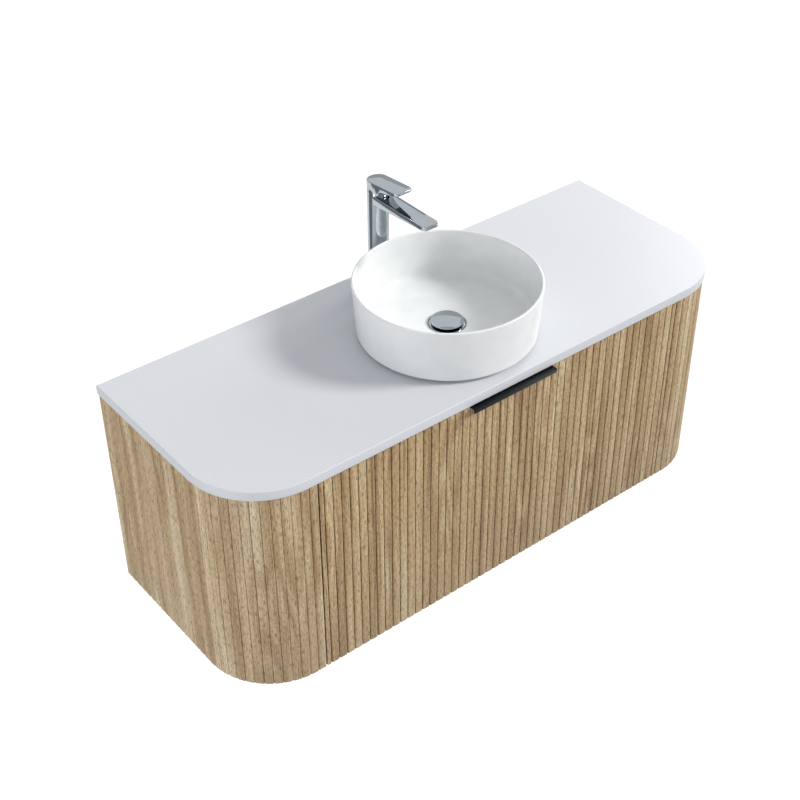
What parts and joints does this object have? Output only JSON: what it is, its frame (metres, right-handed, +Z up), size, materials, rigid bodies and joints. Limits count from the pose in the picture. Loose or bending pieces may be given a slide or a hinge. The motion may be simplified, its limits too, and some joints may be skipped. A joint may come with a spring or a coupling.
{
  "type": "vessel sink on vanity",
  "caption": "Wall-hung vanity with a slatted curved front, full-height drawer, white top, round vessel basin and tall single-lever mixer.",
  "frame": {"origin": "middle of the four wall-fixing holes in the back rails, on the wall plane", "axes": "+X to the right seen from the front, +Y into the wall, +Z up; the front faces -Y"},
  "size_m": [1.2, 0.5, 0.7061],
  "materials": {
    "solid_surface": "matt white solid surface",
    "oak_veneer": "matt lacquered oak veneer",
    "carcass_board": "melamine-faced board",
    "ceramic": "white glaze",
    "chrome": "polished chrome plate",
    "black_aluminium": "matt black anodised",
    "zinc_steel": "zinc plated",
    "black_steel": "black zinc",
    "rubber": "moulded",
    "sealant": "white silicone",
    "brass": "as machined",
    "moulded_plastic": "moulded"
  },
  "bodies": {
    "vanity": {"vanity_top": "solid_surface", "side_shell_left": "oak_veneer", "side_shell_right": "oak_veneer", "cabinet_bottom": "carcass_board", "gable_left": "carcass_board", "gable_right": "carcass_board", "back_rail_upper": "carcass_board", "back_rail_lower": "carcass_board", "front_stretcher": "carcass_board", "runner_cabinet_left": "zinc_steel", "runner_cabinet_right": "zinc_steel", "runner_cabinet_screws": "zinc_steel", "basin": "ceramic", "basin_sealant_bed": "sealant", "waste_body": "chrome", "waste_upper_seal": "rubber", "waste_lower_seal": "rubber", "waste_back_nut": "brass", "trap_inlet_nut": "chrome", "trap_dip_tube": "chrome", "trap_head": "chrome", "trap_cup": "chrome", "trap_outlet_nut": "chrome", "trap_outlet_pipe": "chrome", "trap_wall_plate": "chrome", "tap_body": "chrome", "tap_base_gasket": "rubber", "tap_cap": "chrome", "tap_cartridge": "moulded_plastic", "tap_cartridge_nut": "brass", "tap_aerator": "moulded_plastic", "tap_stud": "zinc_steel", "tap_clamp_washer": "brass", "tap_stud_nut": "brass"},
    "drawer": {"drawer_front": "oak_veneer", "drawer_inner_front": "carcass_board", "drawer_side_left": "carcass_board", "drawer_side_right": "carcass_board", "drawer_back_boards": "carcass_board", "drawer_recess_boards": "carcass_board", "drawer_bottom": "carcass_board", "drawer_front_screws": "zinc_steel", "edge_pull": "black_aluminium", "edge_pull_screws": "black_steel", "runner_drawer_left": "zinc_steel", "runner_drawer_right": "zinc_steel", "runner_drawer_screws": "zinc_steel"},
    "runner_middles": {"runner_middle_left": "zinc_steel", "runner_middle_right": "zinc_steel"},
    "plug": {"waste_plug": "chrome", "waste_plug_seal": "rubber"},
    "tap_turn": {"tap_rotor": "moulded_plastic", "tap_pivot_pin": "zinc_steel"},
    "tap_lift": {"tap_spindle": "zinc_steel", "tap_lever": "chrome", "tap_lever_screw": "black_steel"}
  },
  "joints": [
    {"name": "drawer_slide", "type": "slide", "parent": "vanity", "child": "drawer", "axis": [0, -1, 0], "range_m": [0, 0.33]},
    {"name": "runner_slide", "type": "slide", "parent": "vanity", "child": "runner_middles", "axis": [0, -1, 0], "range_m": [0, 0.165]},
    {"name": "plug_press", "type": "slide", "parent": "vanity", "child": "plug", "axis": [0, 0, -1], "range_m": [0, 0.005]},
    {"name": "lever_swivel", "type": "hinge", "parent": "vanity", "child": "tap_turn", "pos_m": [0, -0.055, 0.436], "axis": [0, 0, 1], "range_deg": [-45, 45]},
    {"name": "lever_lift", "type": "hinge", "parent": "tap_turn", "child": "tap_lift", "pos_m": [0, -0.055, 0.436], "axis": [-1, 0, 0], "range_deg": [0, 20]}
  ],
  "couplings": [
    {"joint": "runner_slide", "follows": "drawer_slide", "ratio": 0.5}
  ]
}
